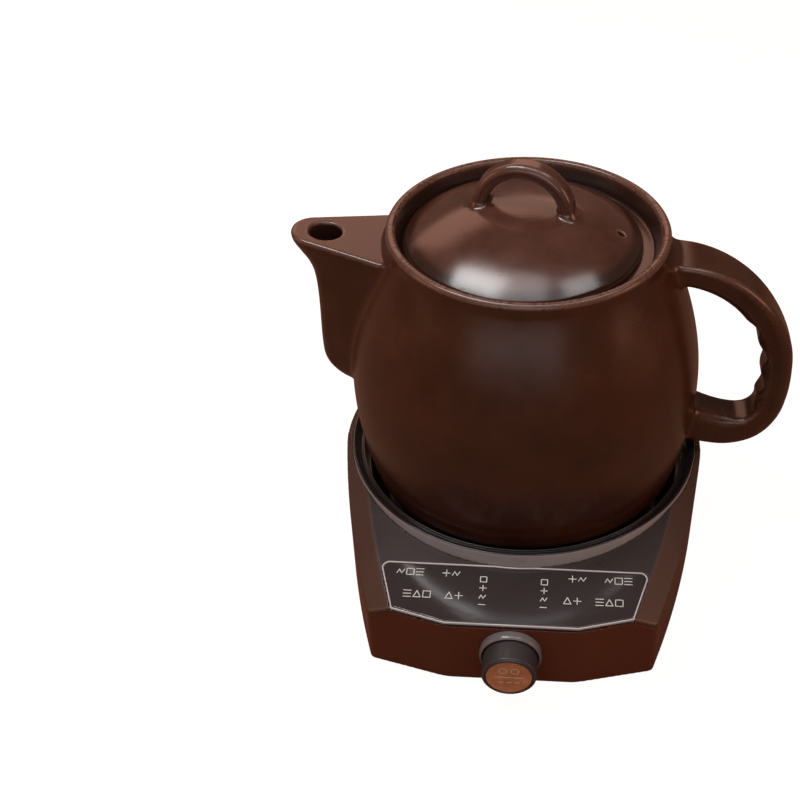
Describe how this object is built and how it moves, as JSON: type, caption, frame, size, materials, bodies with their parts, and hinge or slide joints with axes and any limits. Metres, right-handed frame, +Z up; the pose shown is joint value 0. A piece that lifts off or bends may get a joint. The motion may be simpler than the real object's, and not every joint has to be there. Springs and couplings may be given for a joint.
{
  "type": "electric herbal decoction pot",
  "caption": "Brown glazed stoneware pot with side spout, loop handle and drop-in lid, standing in a shield-shaped electric heating base with sloping panel and push-turn knob.",
  "frame": {"origin": "on the table, under the middle of the whole outline seen from above", "axes": "+Z up; the spout points to -X and the pot handle to +X; the knob and control panel face -Y"},
  "size_m": [0.2828, 0.2686, 0.2451],
  "materials": {
    "pot_glaze": "semi-matt dark brown glaze",
    "lid_glaze": "semi-matt dark brown glaze",
    "housing": "smooth brown plastic",
    "top_cover": "satin grey-brown plastic",
    "recess_ring": "dark grey-brown plastic",
    "panel_trim": "light grey satin strip",
    "control_panel": "glossy near-black sheet",
    "heat_shield": "bright rolled sheet",
    "heater_plate": "cast and turned",
    "heater_element": "dull sheath",
    "steel_parts": "plain",
    "screws": "zinc plated",
    "sensor_cap": "drawn cap",
    "inner_plastic": "black moulded",
    "ceramic_parts": "off-white",
    "circuit_board": "green board",
    "power_board": "brown board",
    "displays": "dark grey blocks",
    "lamps": "clear white domes",
    "knob": "dark grey",
    "knob_disc": "amber brown",
    "knob_bezel": "dark grey, glossy",
    "transformer": "dark core and tape",
    "relay": "blue case",
    "capacitors": "dark blue sleeve",
    "wires": "brown insulation",
    "brass_pins": "plain",
    "bottom_cover": "dark brown moulded",
    "rubber_feet": "black"
  },
  "bodies": {
    "base": {"housing_shell": "housing", "top_cover": "top_cover", "recess_ring": "recess_ring", "panel_trim": "panel_trim", "control_panel": "control_panel", "heat_shield": "heat_shield", "heater_plate": "heater_plate", "heater_element": "heater_element", "plate_posts": "steel_parts", "post_screws": "screws", "sensor_spring": "steel_parts", "sensor_holder": "inner_plastic", "thermostat": "ceramic_parts", "thermal_fuse": "ceramic_parts", "control_board": "circuit_board", "light_guide": "inner_plastic", "digit_displays": "displays", "indicator_lamps": "lamps", "board_screws": "screws", "encoder_body": "inner_plastic", "encoder_nut": "steel_parts", "knob_bezel": "knob_bezel", "power_board": "power_board", "transformer": "transformer", "relay": "relay", "capacitors": "capacitors", "mains_wires": "wires", "power_inlet": "inner_plastic", "inlet_pins": "brass_pins", "inlet_screws": "screws", "bottom_cover": "bottom_cover", "cover_screws": "screws", "rubber_feet": "rubber_feet"},
    "pot": {"pot_body": "pot_glaze", "pot_spout": "pot_glaze", "pot_handle": "pot_glaze"},
    "lid": {"lid": "lid_glaze", "lid_loop": "lid_glaze"},
    "sensor": {"sensor_cap": "sensor_cap"},
    "press_slider": {"press_slider": "ceramic_parts"},
    "knob": {"knob_shaft": "steel_parts", "knob": "knob", "knob_disc": "knob_disc"}
  },
  "joints": [
    {"name": "pot_lift", "type": "slide", "parent": "base", "child": "pot", "axis": [0, 0, 1], "range_m": [0, 0.26]},
    {"name": "lid_lift", "type": "slide", "parent": "pot", "child": "lid", "axis": [0, 0, 1], "range_m": [0, 0.12]},
    {"name": "sensor_press", "type": "slide", "parent": "base", "child": "sensor", "axis": [0, 0, 1], "range_m": [-0.0015, 0], "stiffness_N_per_m": 600, "springref_m": 0.002, "deforming": ["sensor_spring"]},
    {"name": "knob_press", "type": "slide", "parent": "base", "child": "press_slider", "axis": [0, 1, 0], "range_m": [0, 0.001], "stiffness_N_per_m": 2500, "springref_m": -0.001},
    {"name": "knob_turn", "type": "hinge", "parent": "press_slider", "child": "knob", "pos_m": [-0.01242, -0.12425, 0.0275], "axis": [0, -1, 0], "continuous": true}
  ]
}
